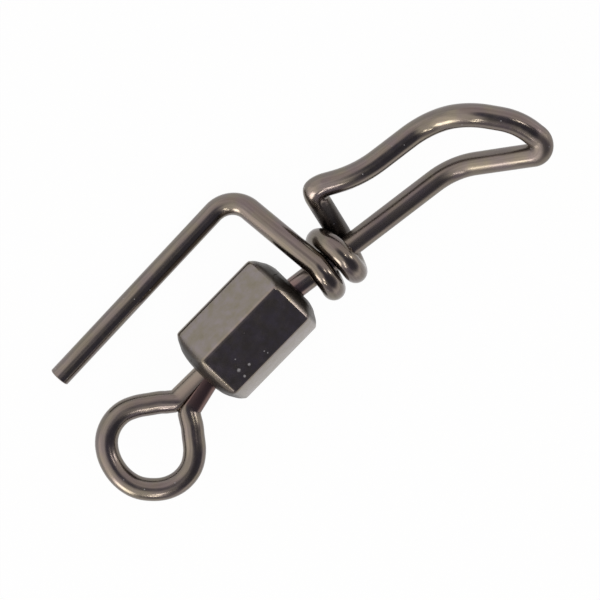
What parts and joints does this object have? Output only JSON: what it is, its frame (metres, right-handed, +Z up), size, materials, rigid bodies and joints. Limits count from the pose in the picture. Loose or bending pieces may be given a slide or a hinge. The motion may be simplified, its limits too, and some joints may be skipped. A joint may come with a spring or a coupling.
{
  "type": "fishing snap swivel",
  "caption": "Small plated fishing swivel: a hexagonal barrel turns between a closed wire eye and a wire snap whose long loop ends in a coil and an open arm.",
  "frame": {"origin": "middle of the barrel's lower flat", "axes": "+X along the barrel's axis towards the snap, +Y towards the side of the snap's open arm, +Z up from the surface that the barrel lies on"},
  "size_m": [0.0233, 0.0078, 0.0056],
  "materials": {
    "barrel_plate": "polished black nickel plate",
    "wire_plate": "polished black nickel plate"
  },
  "bodies": {
    "barrel": {"barrel": "barrel_plate"},
    "eye": {"eye_wire": "wire_plate"},
    "snap": {"snap_wire": "wire_plate"}
  },
  "joints": [
    {"name": "eye_turn", "type": "hinge", "parent": "barrel", "child": "eye", "pos_m": [-0.00146, 0, 0.00183], "axis": [1, 0, 0], "continuous": true},
    {"name": "snap_turn", "type": "hinge", "parent": "barrel", "child": "snap", "pos_m": [0.00146, 0, 0.00183], "axis": [1, 0, 0], "continuous": true}
  ]
}
